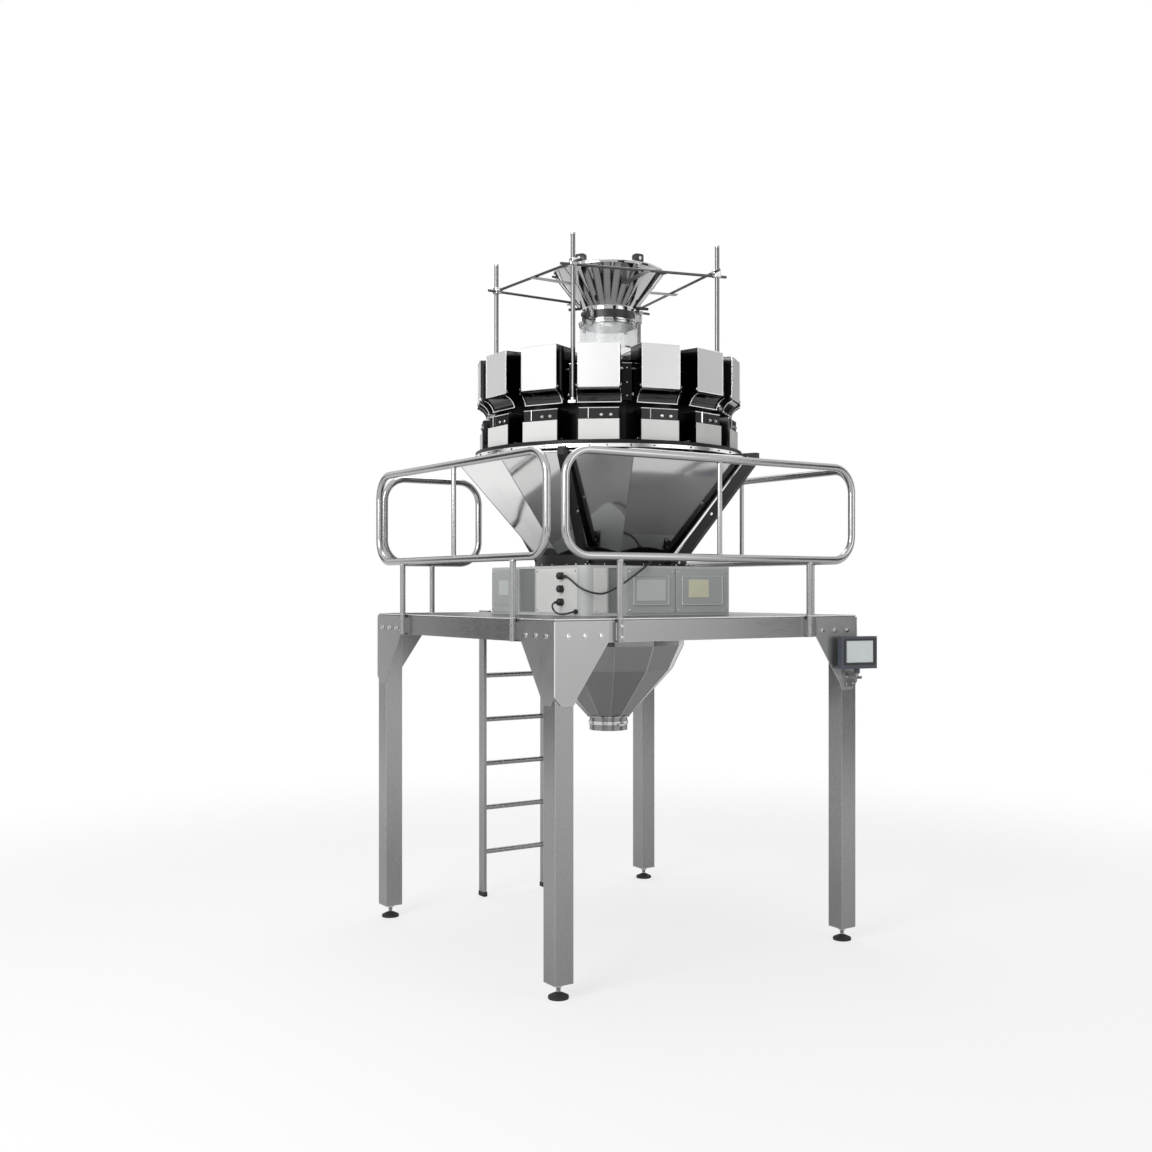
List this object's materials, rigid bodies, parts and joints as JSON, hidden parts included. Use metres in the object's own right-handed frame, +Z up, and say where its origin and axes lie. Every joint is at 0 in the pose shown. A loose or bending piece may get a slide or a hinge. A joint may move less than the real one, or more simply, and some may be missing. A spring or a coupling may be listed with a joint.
{
  "type": "multihead weigher",
  "caption": "Combination weigher on its working platform: infeed funnel, ring of feed hoppers with hinged gates over weigh hoppers, collecting cone, base cabinet, guard rails, ladder.",
  "frame": {"origin": "on the floor under the weigher's vertical axis, which is the middle of the platform", "axes": "+Z up; +X and +Y along the platform's sides, +Y towards the ladder; the first head faces +X"},
  "size_m": [1.9904, 2.1279, 3.695],
  "materials": {
    "satin_steel": "satin stainless sheet and tube",
    "bead_blasted_steel": "bead-blasted stainless sheet",
    "polished_steel": "polished stainless",
    "dark_steel": "dark grey, satin",
    "grey_paint": "pale grey, satin",
    "grey_plastic": "pale blue-grey",
    "black_plastic": "black, satin",
    "black_rubber": "black",
    "clear_plastic": "clear acrylic"
  },
  "bodies": {
    "machine": {"platform_legs": "satin_steel", "levelling_feet": "black_rubber", "gusset_plates": "satin_steel", "edge_beams": "satin_steel", "deck_joists": "satin_steel", "deck_plate": "bead_blasted_steel", "guard_rail_front": "polished_steel", "guard_rail_left": "polished_steel", "guard_rail_right": "polished_steel", "guard_rail_back": "polished_steel", "access_ladder": "satin_steel", "base_cabinet": "grey_paint", "cabinet_covers": "grey_paint", "cable_glands": "black_plastic", "collar_gland": "black_plastic", "collar_ring": "black_plastic", "support_arms": "dark_steel", "collecting_cone": "polished_steel", "discharge_funnel": "satin_steel", "discharge_spout": "satin_steel", "ring_frame": "dark_steel", "drum_body": "dark_steel", "drive_modules": "dark_steel", "hopper_brackets": "dark_steel", "feed_hoppers": "bead_blasted_steel", "weigh_hoppers": "bead_blasted_steel", "feeder_pans": "polished_steel", "dispersion_cone": "polished_steel", "clear_tube": "clear_plastic", "infeed_neck": "polished_steel", "infeed_funnel": "polished_steel", "support_posts": "satin_steel", "cross_rods": "satin_steel", "funnel_brackets": "satin_steel", "level_sensors": "black_plastic", "screen_bracket": "satin_steel", "signal_cable": "black_rubber", "power_lead": "black_rubber"},
    "screen": {"screen_housing": "grey_plastic"},
    "gate_01": {"feed_gate_01": "polished_steel"},
    "gate_02": {"feed_gate_02": "polished_steel"},
    "gate_03": {"feed_gate_03": "polished_steel"},
    "gate_04": {"feed_gate_04": "polished_steel"},
    "gate_05": {"feed_gate_05": "polished_steel"},
    "gate_06": {"feed_gate_06": "polished_steel"},
    "gate_07": {"feed_gate_07": "polished_steel"},
    "gate_08": {"feed_gate_08": "polished_steel"},
    "gate_09": {"feed_gate_09": "polished_steel"},
    "gate_10": {"feed_gate_10": "polished_steel"},
    "gate_11": {"feed_gate_11": "polished_steel"},
    "gate_12": {"feed_gate_12": "polished_steel"},
    "gate_13": {"feed_gate_13": "polished_steel"},
    "gate_14": {"feed_gate_14": "polished_steel"}
  },
  "joints": [
    {"name": "feed_gate_01_hinge", "type": "hinge", "parent": "machine", "child": "gate_01", "pos_m": [0.712, 0, 2.9], "axis": [0, -1, 0], "range_deg": [0, 50], "stiffness_Nm_per_rad": 0.6, "springref_deg": -45.84},
    {"name": "feed_gate_02_hinge", "type": "hinge", "parent": "machine", "child": "gate_02", "pos_m": [0.64149, 0.30893, 2.9], "axis": [0.4339, -0.901, 0], "range_deg": [0, 50], "stiffness_Nm_per_rad": 0.6, "springref_deg": -45.84},
    {"name": "feed_gate_03_hinge", "type": "hinge", "parent": "machine", "child": "gate_03", "pos_m": [0.44393, 0.55666, 2.9], "axis": [0.7818, -0.6235, 0], "range_deg": [0, 50], "stiffness_Nm_per_rad": 0.6, "springref_deg": -45.84},
    {"name": "feed_gate_04_hinge", "type": "hinge", "parent": "machine", "child": "gate_04", "pos_m": [0.15843, 0.69415, 2.9], "axis": [0.9749, -0.2225, 0], "range_deg": [0, 50], "stiffness_Nm_per_rad": 0.6, "springref_deg": -45.84},
    {"name": "feed_gate_05_hinge", "type": "hinge", "parent": "machine", "child": "gate_05", "pos_m": [-0.15843, 0.69415, 2.9], "axis": [0.9749, 0.2225, 0], "range_deg": [0, 50], "stiffness_Nm_per_rad": 0.6, "springref_deg": -45.84},
    {"name": "feed_gate_06_hinge", "type": "hinge", "parent": "machine", "child": "gate_06", "pos_m": [-0.44393, 0.55666, 2.9], "axis": [0.7818, 0.6235, 0], "range_deg": [0, 50], "stiffness_Nm_per_rad": 0.6, "springref_deg": -45.84},
    {"name": "feed_gate_07_hinge", "type": "hinge", "parent": "machine", "child": "gate_07", "pos_m": [-0.64149, 0.30893, 2.9], "axis": [0.4339, 0.901, 0], "range_deg": [0, 50], "stiffness_Nm_per_rad": 0.6, "springref_deg": -45.84},
    {"name": "feed_gate_08_hinge", "type": "hinge", "parent": "machine", "child": "gate_08", "pos_m": [-0.712, 0, 2.9], "axis": [0, 1, 0], "range_deg": [0, 50], "stiffness_Nm_per_rad": 0.6, "springref_deg": -45.84},
    {"name": "feed_gate_09_hinge", "type": "hinge", "parent": "machine", "child": "gate_09", "pos_m": [-0.64149, -0.30893, 2.9], "axis": [-0.4339, 0.901, 0], "range_deg": [0, 50], "stiffness_Nm_per_rad": 0.6, "springref_deg": -45.84},
    {"name": "feed_gate_10_hinge", "type": "hinge", "parent": "machine", "child": "gate_10", "pos_m": [-0.44393, -0.55666, 2.9], "axis": [-0.7818, 0.6235, 0], "range_deg": [0, 50], "stiffness_Nm_per_rad": 0.6, "springref_deg": -45.84},
    {"name": "feed_gate_11_hinge", "type": "hinge", "parent": "machine", "child": "gate_11", "pos_m": [-0.15843, -0.69415, 2.9], "axis": [-0.9749, 0.2225, 0], "range_deg": [0, 50], "stiffness_Nm_per_rad": 0.6, "springref_deg": -45.84},
    {"name": "feed_gate_12_hinge", "type": "hinge", "parent": "machine", "child": "gate_12", "pos_m": [0.15843, -0.69415, 2.9], "axis": [-0.9749, -0.2225, 0], "range_deg": [0, 50], "stiffness_Nm_per_rad": 0.6, "springref_deg": -45.84},
    {"name": "feed_gate_13_hinge", "type": "hinge", "parent": "machine", "child": "gate_13", "pos_m": [0.44393, -0.55666, 2.9], "axis": [-0.7818, -0.6235, 0], "range_deg": [0, 50], "stiffness_Nm_per_rad": 0.6, "springref_deg": -45.84},
    {"name": "feed_gate_14_hinge", "type": "hinge", "parent": "machine", "child": "gate_14", "pos_m": [0.64149, -0.30893, 2.9], "axis": [-0.4339, -0.901, 0], "range_deg": [0, 50], "stiffness_Nm_per_rad": 0.6, "springref_deg": -45.84},
    {"name": "screen_swivel", "type": "hinge", "parent": "machine", "child": "screen", "pos_m": [0.896, -1.015, 1.46], "axis": [0, 0, 1], "range_deg": [-6, 30]}
  ]
}
